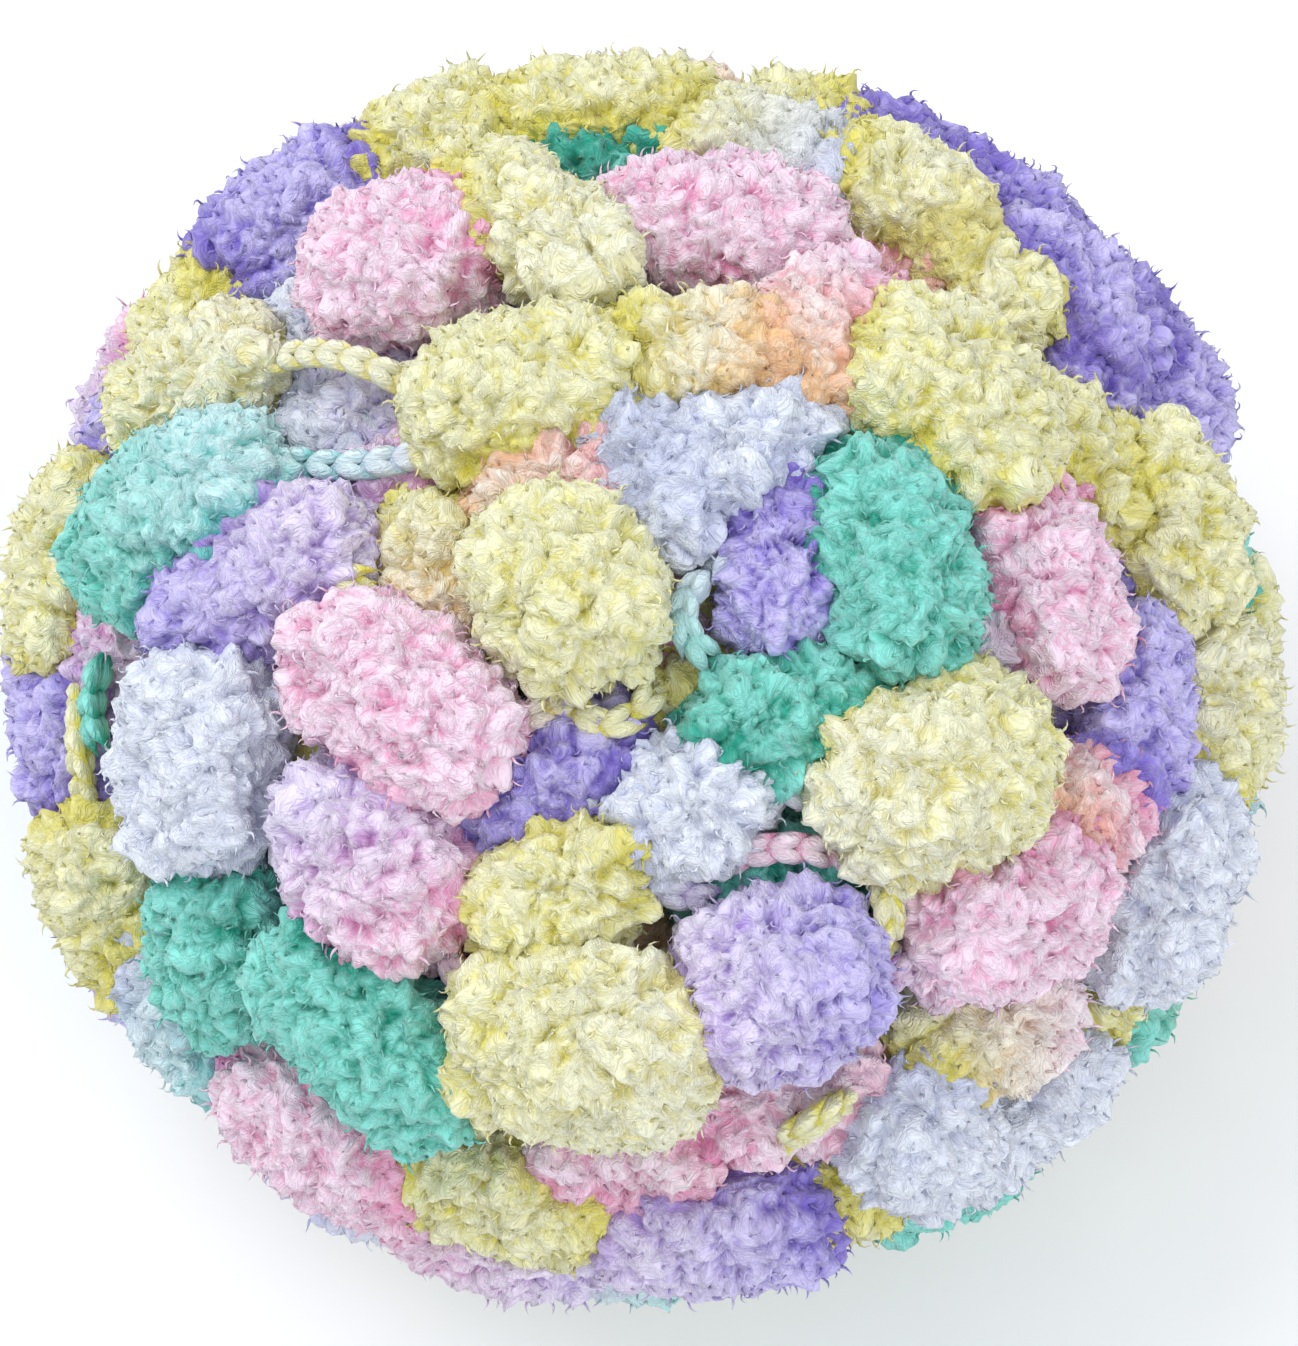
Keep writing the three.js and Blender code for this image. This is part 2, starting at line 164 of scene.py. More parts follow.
# %% Pompoms of the upper side
UPPER_POMPOMS = [
    # start, end, across, up, turn, long, wide, sink
    ("lemon", "lemon", -24.5, 63.5, 14, 29, 21, 0),
    ("lemon", "lemon", -5, 66.5, 2, 29, 21, 0),
    ("lemon", "white", 15, 63, -36, 29, 18, 0),
    ("lemon", "lemon", 25, 66, -25, 29, 20, 1),
    ("lemon", "cream", -14, 55, -55, 33, 16, -4),
    ("lemon", "lemon", -53, 45.5, 18, 27, 19, 1),
    ("lemon", "cream", -55.5, 34.5, -5, 27, 18, 0),
    ("lemon", "lemon", -14.5, 33.5, 12, 30, 21, -1),
    ("lemon", "lemon", -70, 12, 85, 30, 21, 0),
    ("lemon", "peach", -25, 10, -85, 24, 18, 5),
    ("lemon", "lemon", -10, 9.5, -60, 24, 21.5, -4),
    ("lemon", "lemon", 4, -5, 10, 22, 16, 8),
    ("lemon", "lemon", 37.5, 32, -50, 30, 24, -3),
    ("cream", "lemon", 36.5, -14, 25, 29, 23.5, -4),
    ("lemon", "peach", 7.5, 37.5, -8, 24, 18, -1),
    ("lemon", "cream", 32, 57.5, -30, 24, 19, -1),
    ("cream", "lemon", 41, 49, -55, 26, 16, 1),
    ("lemon", "lemon", 54, 24, -60, 25, 17, 3),
    ("lemon", "lemon", 66, 17.5, -86, 27, 18, -2),
    ("lemon", "cream", 70, -6, 80, 26, 19, 0),
    ("lemon", "lemon", -11, -28, 30, 24, 17, 0),
    ("lemon", "cream", -7.5, -47, -5, 31, 24, -4),
    ("lemon", "blush", 42, -45.5, -5, 27, 17, 3),
    ("lemon", "lemon", 58, -44, 55, 22, 15, 3),
    ("lemon", "lemon", 21.5, -65, -18, 26, 16, 1),
    ("lemon", "lemon", 7, -62.5, -5, 22, 14, 4),
    ("lemon", "lemon", -66, -29, -70, 28, 19, 0),
    ("lemon", "lemon", -16, -65, -8, 30, 18, 1),
    ("white", "white", -38, 40, 0, 25, 20, 8),
    ("white", "lilac", -34, 31, 20, 25, 18, 9),
    ("white", "white", 1, 23, -60, 25, 17, 1),
    ("white", "white", 12.5, 26, 35, 24, 19, 0),
    ("white", "white", 4.5, -18, 20, 21, 18, 1),
    ("white", "blush", 41, 4.5, 30, 22, 16, 4),
    ("white", "white", 64, -27, 75, 30, 21, 0),
    ("white", "ice", 70, -17, 78, 26, 17, 2),
    ("white", "white", 33.5, -58, -60, 25, 20, 0),
    ("white", "white", 47, -55, 40, 28, 20, 1),
    ("white", "white", 31, -68, 25, 24, 16, 3),
    ("white", "white", -55, -12, 82, 28, 21, -2),
    ("white", "ice", -57, -44, -40, 27, 19, 2),
    ("ice", "white", -47, -58, -42, 26, 17, 4),
    ("pink", "pink", -30, 50, 10, 25, 22, -2),
    ("pink", "pink", -40, 29, 10, 20, 15, 11),
    ("pink", "pink", 9.5, 54, -5, 30, 20, 1),
    ("pink", "peach", 32, 49, -35, 25, 17, 6),
    ("pink", "pink", 50, 9.5, -70, 27, 18, -1),
    ("pink", "pink", 49, 23, -70, 20, 15, 6),
    ("pink", "pink", 1.5, 5.5, 70, 26, 16, 10),
    ("pink", "pink", 45, -30, 20, 28, 21.5, -2),
    ("pink", "blush", 17.5, -54, 12, 26, 16, 4),
    ("pink", "blush", -2, -60, -12, 25, 16, 3),
    ("pink", "pink", -39, -58, -35, 29, 20, 0),
    ("pink", "lilac", -19, -70, -14, 31, 19, 0),
    ("pink", "pink", -30, -4.5, -35, 31, 20, -3),
    ("lilac", "lavender", 17, -40, 10, 25, 22.5, -3),
    ("lilac", "lavender", 9, -69, -8, 31, 20, -1),
    ("lilac", "pink", -64, 3, 45, 22, 16, 6),
    ("pink", "lilac", -46, -46, -45, 24, 17, 6),
    ("peach", "blush", -8.5, 22, 5, 27, 19, 3),
    ("peach", "pink", 22, 40, 55, 25, 19, -1),
    ("peach", "pink", 52, -18.5, 10, 24, 18, 1),
    ("lavender", "lavender", -42, 54.5, 28, 30, 22, 0),
    ("lavender", "lavender", -66, 29, 62, 26, 18, 3),
    ("lavender", "lilac", -47.5, 10, 25, 32, 19.5, 0),
    ("lilac", "pink", -29, 21, 8, 28, 17, 8),
    ("lavender", "lavender", 17, 14.5, 80, 27, 15, 0),
    ("lavender", "lavender", -11, -14.5, 25, 27, 19, 4),
    ("lilac", "pink", -33, -24.5, -59, 27, 23, 0),
    ("lavender", "lavender", 33, 62.5, -28, 29, 20, 0),
    ("lavender", "lavender", 45, 54, -42, 27, 21, 0),
    ("lavender", "lavender", 52.5, 45, -58, 29, 21, -0.5),
    ("lavender", "lavender", 55, 33, -65, 26, 17, 4),
    ("lavender", "lavender", 62, 37, -62, 30, 21, -1),
    ("lavender", "lavender", 58.5, 12, -88, 26, 15, 6),
    ("lavender", "lavender", 60, -5.5, 75, 26, 18, 1),
    ("lavender", "lavender", -70, -11, 88, 26, 18, 1),
    ("mint", "ice", -57.5, 18, 18, 31, 22.5, -2),
    ("mint", "mint", 31, 13, -80, 30, 19.5, -3),
    ("mint", "mint", 18.5, -7, 5, 26, 17, 1),
    ("mint", "mint", -5.5, 61, 3, 25, 18, 4),
    ("mint", "mint", 16.5, -27, 5, 24, 16, 6),
    ("mint", "mint", 71, 14, -85, 25, 16, 2),
    ("mint", "mint", -53, -34, 70, 27, 18, 1),
    ("mint", "mint", -34, -46, -45, 33, 19, -3),
]

# %% [markdown]
# Round the side and underneath the pompoms lie in rings, as the last turns of a ball do, and
# the dye takes its turns along the strand. Each ring zigzags a little, or it would look like
# a row of beads.

# %% Rings of pompoms round the side and underneath
LOWER_RINGS = [
    # angle down from the axis, lean of the axis to the front, count, start
    (98, 12, 12, 0),
    (122, 9, 11, 0.5),
    (141, 5, 8, 0.2),
    (159, 0, 5, 0.6),
    (180, 0, 1, 0),
]
RING_ZIGZAG = math.radians(16)
RING_DYE_STEP = 5  # how far on in the dye run each ring starts
DYE_RUN = ["lemon", "lemon", "cream", "peach", "pink", "pink", "lilac", "lavender", "lavender"]
DYE_RUN += ["white", "mint", "mint"]

# %% [markdown]
# ## Links of cord
# Between two pompoms the bare cord shows. A row gives the colours at its ends, three points
# on the plan and how far the middle one rises above the shell. A smooth line through three
# points is enough for such a short, soft cord.

# %% Links of the upper side
UPPER_LINKS = [
    # start, end, x1, y1, x2, y2, x3, y3, rise
    ("cream", "cream", -47, 37, -38.5, 38.5, -27, 33, 3),
    ("lemon", "lemon", -70.5, -3, -70.5, -11, -69.5, -20, 0),
    ("lemon", "lemon", -10.5, -2, -4.5, -7.5, 2, -2, 1),
    ("lemon", "lemon", -1, 43, 1, 40, 4, 37, 3),
    ("lemon", "lemon", -38, 6, -36.5, 10.5, -34, 6, 2),
    ("lemon", "lemon", 29.5, -25.5, 30.5, -31, 30, -37.5, 4),
    ("cream", "lemon", 24, 53, 27, 50, 29, 46, 2),
    ("lemon", "lemon", 16, -60, 21, -57, 26, -53.5, 4),
    ("ice", "white", -45, 25.5, -36, 24.8, -27, 26.5, -1),
    ("mint", "mint", -68, 0, -69, -5, -68, -10, -1),
    ("white", "mint", 11.5, 13.5, 4.8, 5.5, 13, -2, 2),
    ("ice", "ice", 72, 4, 72.5, -2, 71, -9, 1),
    ("white", "white", 10, -16.5, 15, -15, 21, -17, 1),
    ("white", "lilac", -1, -28, 4, -28.5, 9, -29.5, -1),
    ("blush", "lemon", -17, -8, -13, -6, -8, -4, 0),
    ("pink", "blush", 9, -25, 18, -22.8, 27, -25, 0),
    ("lilac", "pink", 28, -41, 31.5, -38.5, 36, -36, 2.5),
    ("pink", "pink", -26, -33, -23.5, -38, -22, -42, 0),
]


# %% From the plan to the shell
def turned(first, second, angle):
    """The direction an angle away from one direction towards a second one square to it."""
    return math.cos(angle) * first + math.sin(angle) * second


def unit(vector):
    return vector / np.linalg.norm(vector)


def shell_spot(direction, sink):
    """Point and normal of the shell for a direction on the unit sphere."""
    reach = SHELL - sink
    return MIDDLE + direction * reach, unit(direction / reach)


def plan_spot(across, up, sink):
    """Point and normal of the shell behind a point of the plan, as the eye sees it."""
    reach = SHELL - sink
    start = (EYE - MIDDLE) / reach
    ray = (MIDDLE + across * PLAN_RIGHT + up * PLAN_UP - EYE) / reach
    half = start @ ray
    under = max(half**2 - (ray @ ray) * (start @ start - 1), 0)
    return shell_spot(unit(start + ray * (-half - math.sqrt(under)) / (ray @ ray)), sink)


# %% Pompoms of the upper side and of the rings
def pompom(spot, heading, long, wide, start, end):
    """A pompom: its centre, its three axes, half its three sizes and its colours."""
    centre, out = spot
    along = unit(heading - (heading @ out) * out)
    axes = np.array([along, np.cross(out, along), out])
    half = np.array([long, wide, wide * POMPOM_FLATNESS]) / 2
    return {"centre": centre, "axes": axes, "half": half, "start": start, "end": end}


def upper_pompoms():
    made = []
    for start, end, across, up, turn, long, wide, sink in UPPER_POMPOMS:
        heading = turned(PLAN_RIGHT, PLAN_UP, math.radians(turn))
        made.append(pompom(plan_spot(across, up, sink), heading, long, wide, start, end))
    return made


def ring_pompoms(angle, lean, count, start, dye):
    """One ring of pompoms, which swing one way and the other by turns."""
    axis = turned(np.array([0, 0, 1]), np.array([0, -1, 0]), math.radians(lean))
    back = np.cross(axis, PLAN_RIGHT)
    made = []
    for k in range(count):
        around = 2 * math.pi * (k + start) / count
        swing = RING_ZIGZAG if k % 2 == 0 else -RING_ZIGZAG
        outward = turned(PLAN_RIGHT, back, around)
        onward = turned(PLAN_RIGHT, back, around + math.pi / 2)
        spot = shell_spot(turned(axis, outward, math.radians(angle)), 0)
        colours = [DYE_RUN[(dye + k + step) % len(DYE_RUN)] for step in (0, 1)]
        made.append(pompom(spot, turned(onward, axis, swing), POMPOM_LONG, POMPOM_WIDE, *colours))
    return made


rings = []
for ring_row in LOWER_RINGS:
    rings.append(ring_pompoms(*ring_row, dye=RING_DYE_STEP * len(rings)))
above = upper_pompoms()
below = [each for ring in rings for each in ring]
pompoms = above + below
print(len(above), "pompoms on the upper side and", len(below), "round the side and below")

# %% [markdown]
# ## Camera
# The camera stands where the eye of the plan is, above the ball and a little in front. It
# comes early, because what it sees is what needs the most care. Its lens follows from the
# number of pixels that one millimetre takes in the picture.

# %% Camera
PICTURE_WIDE = 1298
PICTURE_HIGH = 1346
BALL_IN_PICTURE = (644, 665)
PIXELS_PER_MM = 8

camera_data = bpy.data.cameras.new("eye over the ball")
camera_data.sensor_fit = "HORIZONTAL"
camera_data.lens = camera_data.sensor_width * EYE_DISTANCE * PIXELS_PER_MM / PICTURE_WIDE
camera_data.shift_x = (PICTURE_WIDE / 2 - BALL_IN_PICTURE[0]) / PICTURE_WIDE
camera_data.shift_y = (BALL_IN_PICTURE[1] - PICTURE_HIGH / 2) / PICTURE_WIDE
camera_data.clip_start = 0.01
camera = bpy.data.objects.new("eye over the ball", camera_data)
facing = Matrix(np.array([PLAN_RIGHT, PLAN_UP, TOWARDS_EYE]).T).to_4x4()
camera.matrix_world = Matrix.Translation(Vector(EYE * MM)) @ facing
bpy.context.scene.collection.objects.link(camera)
bpy.context.scene.camera = camera
print("lens", round(camera_data.lens), "mm")

# %% [markdown]
# ## The skin of each pompom
# A hair system could grow every fibre, but the pile is so dense that its crumbs make up a
# surface of their own, and a surface is far lighter. So each pompom gets a closed barrel a
# little inside its outline, which a later step raises into crumbs. Its facets are split again
# and again where they show, and stay large where the barrel lies inside its neighbours. Each
# corner carries the two dyes, a value called cover, which says whether loose fibres may stand
# there, and one called open, which falls towards 0 in the crevices between pompoms, where the
# material paints shade into the colour.

# %% Sizes of the skins
SKIN_INSET = 2.2  # from the skin out to the outline of a pompom, in millimetres
UNEVENNESS = 0.05  # how far the waves of a skin go in and out, as a share of its size
HIDDEN_LEVEL = 0.93  # a corner deeper than this in another pompom never shows
HIDDEN_DEPTH = 1.0  # the same for the core of the ball
# the crevice between two pompoms is where painted shade darkens the colour
TOUCH_LEVEL = 0.95  # where a crevice between two pompoms is deepest
CREVICE_WIDTH = 0.28  # how far it reaches, as a share of their half width
SIGHT_MARGIN = 1.5 * SKIN_INSET  # a point this little behind what a ray meets counts as seen
BLEND_SLOPE = 1.6  # how fast one dye gives way to the next along a pompom
BLEND_START = 0.3
FACET_CUTS = (2, 1, 1)  # how facets are split in turn, the last time only where the eye looks
GROUP_NAMES = {
    "lemon": "lemon",
    "cream": "lemon",
    "peach": "peach",
    "blush": "pink",
    "pink": "pink",
    "lilac": "lavender",
    "lavender": "lavender",
    "white": "white",
    "ice": "mint",
    "mint": "mint",
}


# %% The barrel of a pompom and the core of the ball
def barrel_level(points, each, inset):
    """Where points lie in a pompom that is inset all round: under 1 inside, over 1 outside."""
    local = (points - each["centre"]) @ each["axes"].T / (each["half"] - inset)
    ends = np.abs(local[:, 0]) ** BARREL_POWER
    return (ends + np.hypot(local[:, 1], local[:, 2]) ** BARREL_POWER) ** (1 / BARREL_POWER)


def core_level(points):
    return np.linalg.norm((points - MIDDLE) / (SHELL - CORE_DEPTH), axis=1)


def on_barrel(directions, each, number):
    """Corners on a slightly lumpy barrel, and how far each lies along the cord, 0 to 1."""
    ends = np.abs(directions[:, 0]) ** BARREL_POWER
    sides = np.hypot(directions[:, 1], directions[:, 2]) ** BARREL_POWER
    barrel = (ends + sides) ** (-1 / BARREL_POWER)
    # a few waves cross it, and the number shifts them, so that no two barrels are alike
    waves = np.sin(5 * directions[:, 0] + number) * np.sin(6 * directions[:, 1] - 2 * number)
    waves = waves + 0.6 * np.sin(7 * directions[:, 2] + 3 * number)
    local = directions * (barrel * (1 + UNEVENNESS * waves))[:, None] * (each["half"] - SKIN_INSET)
    share = local[:, 0] / (2 * each["half"][0]) + 0.5
    return each["centre"] + local @ each["axes"], share


# %% Which parts of a pompom lie free
def others_near(own):
    """The other pompoms that may touch one."""
    for other in pompoms:
        if other is not own and np.linalg.norm(other["centre"] - own["centre"]) < 2 * POMPOM_LONG:
            yield other


def shows(points, own):
    """Which points of one pompom lie outside all other pompoms and the core."""
    free = core_level(points) > HIDDEN_DEPTH
    for other in others_near(own):
        free &= barrel_level(points, other, SKIN_INSET) > HIDDEN_LEVEL
    return free


# the material paints shade into the colour where this falls towards 0
def openness(points, own):
    """0 where a point of one pompom touches another, 1 where it stands free."""
    room = np.ones(len(points))
    for other in others_near(own):
        room = np.minimum(room, (barrel_level(points, other, 0) - TOUCH_LEVEL) / CREVICE_WIDTH)
    return np.clip(room, 0, 1)


# %% Which parts the eye sees
def plain_barrels():
    """All pompoms as plain barrels, ready for questions about what a ray meets."""
    directions, facets = fine_ball(3)
    corners = [on_barrel(directions, each, number)[0] for number, each in enumerate(pompoms)]
    sides = [facets + number * len(directions) for number in range(len(pompoms))]
    return BVHTree.FromPolygons(np.concatenate(corners).tolist(), np.concatenate(sides).tolist())


def seen_by_eye(points, barrels):
    """Which points no barrel hides from the eye."""
    seen = np.zeros(len(points), bool)
    for k, point in enumerate(points):
        ray = Vector(point - EYE)
        distance = barrels.ray_cast(Vector(EYE), ray)[3]
        seen[k] = distance is None or distance > ray.length - SIGHT_MARGIN
    return seen


# %% Facets that are split where they show
def fine_ball(subdivisions, facet_cuts=(), place=None, wanted=None):
    """Directions to the corners of a ball and its facets, split step by step where wanted."""
    mesh = bmesh.new()
    bmesh.ops.create_icosphere(mesh, subdivisions=subdivisions, radius=1)
    for step, cuts in enumerate(facet_cuts):
        directions = np.array([vertex.co[:] for vertex in mesh.verts])
        chosen = wanted(place(directions), step == len(facet_cuts) - 1)
        edges = [edge for edge in mesh.edges if any(chosen[end.index] for end in edge.verts)]
        bmesh.ops.subdivide_edges(mesh, edges=edges, cuts=cuts, use_grid_fill=True)
        bmesh.ops.triangulate(mesh, faces=[face for face in mesh.faces if len(face.verts) > 3])
        for vertex in mesh.verts:
            vertex.co.normalize()
        mesh.verts.index_update()
    directions = np.array([vertex.co[:] for vertex in mesh.verts])
    facets = np.array([[vertex.index for vertex in face.verts] for face in mesh.faces])
    mesh.free()
    return directions, facets


def skin_of(each, number, barrels):
    """Directions from the middle of a pompom to the corners of its skin, and its facets."""

    def place(directions):
        return on_barrel(directions, each, number)[0]

    def wanted(points, last):
        chosen = shows(points, each)
        if last:
            chosen[chosen] = seen_by_eye(points[chosen], barrels)
        return chosen

    return fine_ball(2, FACET_CUTS, place, wanted)


# %% Make the skins
BARRELS = plain_barrels()
for number, each in enumerate(pompoms):
    directions, each["facets"] = skin_of(each, number, BARRELS)
    each["corners"], share = on_barrel(directions, each, number)
    each["cover"] = shows(each["corners"], each).astype(float)
    each["open"] = openness(each["corners"], each)
    blend = np.clip(BLEND_SLOPE * share - BLEND_START, 0, 1)
    each |= dyes_along((each["start"], each["end"]), blend)
print(sum(len(each["facets"]) for each in pompoms), "facets in the skins")

# %% [markdown]
# ## Loose fibres
# Fine fibres curl out of the pile everywhere. They break up the crumbs and make the outline
# of a pompom soft. A curve with a round profile would do, but a closed tube with three sides
# along an arc takes a quarter of the triangles, and there are thousands of fibres. Its
# attribute tip runs up to 1 at the free end, and the attribute grain, a place squeezed along
# the fibre, lets the material draw its strokes lengthwise.

# %% Sizes of a fibre
FIBRE_KINDS = 16
FIBRE_LONG = 2.0  # in millimetres
FIBRE_STEPS = 8
FIBRE_SIDES = 3
FIBRE_CURL = (0.8, 2.6)  # how far a fibre bends from its foot to its tip, in radians
FIBRE_SWIRL = 0.25  # how far it may turn aside at each step, in radians
FIBRE_LEVELS = (0.0, 0.33, 0.67)  # where its rings of corners are, as shares of its length
FIBRE_RADII = (0.2, 0.17, 0.1)
FIBRE_ROUGHNESS = 0.15  # how uneven the rings are, as a share of their radius
GRAIN_STRETCH = 4  # how much longer than wide the strokes on fibres and stitches are


# %% A tube with a few rings of corners
ASLANT = (0.13, 0.99, 0.05)  # a direction that no tube runs in


def tube(centres, radii, sides, random, roughness):
    """Corners and faces of a closed tube through centres, with rough rings and a last point."""
    corners = []
    faces = [tuple(range(sides))[::-1]]
    tangents = np.gradient(np.array(centres), axis=0)
    for centre, tangent, radius in zip(centres, tangents, radii):
        across = unit(np.cross(ASLANT, tangent))
        upright = np.cross(unit(tangent), across)
        for side in range(sides):
            reach = radius * random.uniform(1 - roughness, 1 + roughness)
            corners.append(centre + reach * turned(across, upright, 2 * math.pi * side / sides))
    corners.append(centres[-1])
    for ring in range(len(radii) - 1):
        for side in range(sides):
            low, high, after = ring * sides, (ring + 1) * sides, (side + 1) % sides
            faces.append((low + side, low + after, high + after, high + side))
    last = (len(radii) - 1) * sides
    for side in range(sides):
        faces.append((last + side, last + (side + 1) % sides, len(corners) - 1))
    return corners, faces


# %% Attributes and meshes
ATTRIBUTE_KINDS = {
    # kind: (its type in Blender, the name of its values there)
    "number": ("FLOAT", "value"),
    "vector": ("FLOAT_VECTOR", "vector"),
    "colour": ("FLOAT_COLOR", "color"),
}


def store(mesh, name, kind, values):
    """Gives a mesh an attribute with one value for each corner."""
    data_type, key = ATTRIBUTE_KINDS[kind]
    if kind == "colour":
        values = np.hstack([values, np.ones((len(values), 1))])
    layer = mesh.attributes.new(name, data_type, "POINT")
    layer.data.foreach_set(key, np.asarray(values, float).ravel())


def smooth_mesh(name, corners, faces, tips, stretch):
    """A smooth mesh from corners in millimetres, with a grain stretched along one axis."""
    mesh = bpy.data.meshes.new(name)
    mesh.from_pydata([Vector(corner * MM) for corner in corners], [], faces)
    mesh.polygons.foreach_set("use_smooth", [True] * len(faces))
    store(mesh, "tip", "number", tips)
    store(mesh, "grain", "vector", np.array(corners) * MM / np.array(stretch))
    return mesh


# %% The kinds of fibre
def fibre_mesh(name, random):
    """A closed curl of fibre that stands on the origin."""
    curl = random.uniform(*FIBRE_CURL)
    swirl = FIBRE_SWIRL * random.uniform(-1, 1)
    centres = [np.zeros(3)]
    step = FIBRE_LONG / FIBRE_STEPS
    for k in range(FIBRE_STEPS):
        side = np.array([math.cos(swirl * k), math.sin(swirl * k), 0])
        bend = curl * k / (FIBRE_STEPS - 1)
        centres.append(centres[-1] + step * turned(np.array([0, 0, 1]), side, bend))
    picked = [centres[round(FIBRE_STEPS * level)] for level in (*FIBRE_LEVELS, 1.0)]
    corners, faces = tube(picked, FIBRE_RADII, FIBRE_SIDES, random, FIBRE_ROUGHNESS)
    # the tip values paint the free end pale, as a highlight, and the foot deeper, as shade among
    # the crumbs
    tips = [0.5 + 0.5 * level for level in FIBRE_LEVELS for _ in range(FIBRE_SIDES)] + [1.0]
    return smooth_mesh(name, corners, faces, tips, (1, 1, GRAIN_STRETCH))


def triangles_in(mesh):
    return sum(len(face.vertices) - 2 for face in mesh.polygons)


fibres = bpy.data.collections.new("fibres")
fibre_random = np.random.default_rng(7)
for kind in range(FIBRE_KINDS):
    mesh = fibre_mesh(f"fibre {kind:02d}", fibre_random)
    fibres.objects.link(bpy.data.objects.new(mesh.name, mesh))
print(FIBRE_KINDS, "kinds of fibre with", triangles_in(mesh), "triangles each")

# %% [markdown]
# ## Material of the pile
# The tips of the pile are painted pale and its roots deep in colour, as light that wanders
# through the fibres makes them: the colour goes from one to the other with the height of a
# crumb, of the fibres on it and of the strokes and puffs described next, as painted highlight
# on what stands up and painted shade in the hollows. Between pompoms it paints more shade
# where the attribute open falls. A picture of fibres could be wrapped round each pompom, but
# it would blur close by, so the fibres are computed strokes: a noise, folded up and down, has
# contour lines that curl as crimped fibres do, and a Voronoi texture gathers them into puffs.
# Both read the attribute grain, which is the place on the skin before it is raised, so the
# strokes run up the sides of a crumb as real fibres do. A little sheen gives the bloom of
# microfibre.


# %% Helpers for node trees
def node(tree, kind, label, settings=(), **inputs):
    """Adds a node, then sets or links its inputs, by name or as _0, _1 by their place."""
    added = tree.nodes.new(kind)
    added.label = label
    for key, value in dict(settings).items():
        setattr(added, key, value)
    for key, value in inputs.items():
        named = key.replace("_", " ")
        socket = added.inputs[int(key[1:]) if key[0] == "_" else named]
        if isinstance(value, bpy.types.NodeSocket):
            tree.links.new(value, socket)
        else:
            socket.default_value = value
    return added


def number_math(tree, label, operation, *values):
    inputs = {f"_{place}": value for place, value in enumerate(values)}
    return node(tree, "ShaderNodeMath", label, {"operation": operation}, **inputs).outputs[0]


def vector_math(tree, label, operation, *values):
    inputs = {f"_{place}": value for place, value in enumerate(values)}
    return node(tree, "ShaderNodeVectorMath", label, {"operation": operation}, **inputs).outputs[0]


def scaled(tree, label, vector, factor):
    """A vector times a number."""
    scaling = {"operation": "SCALE"}
    return node(tree, "ShaderNodeVectorMath", label, scaling, _0=vector, Scale=factor).outputs[0]


def spread(tree, label, value, **limits):
    """A value mapped from one range to another."""
    return node(tree, "ShaderNodeMapRange", label, Value=value, **limits).outputs[0]


def noise(tree, label, place, scale, **more):
    return node(tree, "ShaderNodeTexNoise", label, Vector=place, Scale=scale, **more)


def chance(tree, label, low, high, seed):
    """A random number for each point of a Geometry Nodes tree."""
    limits = {"_2": low, "_3": high, "Seed": seed}
    return node(tree, "FunctionNodeRandomValue", label, **limits).outputs[1]


def cells_of(tree, label, place, scale):
    """The distance to the middle of the nearest cell of a Voronoi texture."""
    nearest = {"feature": "F1"}
    texture = node(tree, "ShaderNodeTexVoronoi", label, nearest, Vector=place, Scale=scale)
    return texture.outputs["Distance"]


def attribute(tree, name):
    return node(tree, "ShaderNodeAttribute", name, {"attribute_name": name})


# %% How every Geometry Nodes tree starts and ends
def new_tree(name, sockets):
    """A Geometry Nodes tree with inputs of these kinds, which it also returns."""
    tree = bpy.data.node_groups.new(name, "GeometryNodeTree")
    for socket, kind in sockets.items():
        tree.interface.new_socket(socket, in_out="INPUT", socket_type=f"NodeSocket{kind}")
    tree.interface.new_socket("Result", in_out="OUTPUT", socket_type="NodeSocketGeometry")
    return tree, tree.nodes.new("NodeGroupInput").outputs


def paint_and_end(tree, geometry, material):
    """Sets the material, and makes this geometry the result of a tree."""
    paint = node(tree, "GeometryNodeSetMaterial", "paint", Geometry=geometry, Material=material)
    tree.links.new(paint.outputs[0], tree.nodes.new("NodeGroupOutput").inputs["Result"])


# %% Pile material
DRIFT_SCALE = 600.0  # scales of textures say how many features fit in a metre
FIBRE_SCALE = 900.0
CLUMP_SCALE = 260.0
DRIFT = (0.0035, 0.0035, 0.0035)  # how far the strokes are pushed about, in metres
STROKE_STEP = 0.08  # how much the noise changes from one stroke to the next
STROKE_SHARE = 0.45  # how high strokes stand, next to puffs
RELIEF_SHARE = 0.6  # how much strokes and puffs tell, next to crumbs


